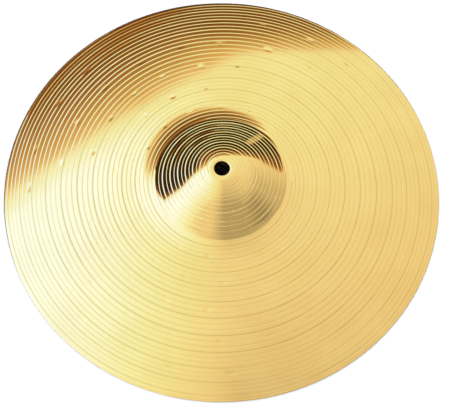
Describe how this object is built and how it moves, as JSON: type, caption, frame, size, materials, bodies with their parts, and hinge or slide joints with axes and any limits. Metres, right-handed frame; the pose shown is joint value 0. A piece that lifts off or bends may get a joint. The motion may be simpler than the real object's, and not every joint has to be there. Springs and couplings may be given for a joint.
{
  "type": "crash cymbal",
  "caption": "Round thin crash cymbal of spun and lathed brass, with a raised bell, a gently curved bow and a plain central hole for a stand.",
  "frame": {"origin": "the middle of the plane that the rim rests on", "axes": "+Z is the cymbal's axis and points up through the bell; X and Y are any two level directions, because the cymbal is round"},
  "size_m": [0.3556, 0.3556, 0.04],
  "materials": {
    "lathed_brass": "polished brass, lathed in fine rings with a deeper groove about every 13 mm, and lightly hammered"
  },
  "bodies": {
    "root": {"cymbal_plate": "lathed_brass"}
  },
  "joints": []
}
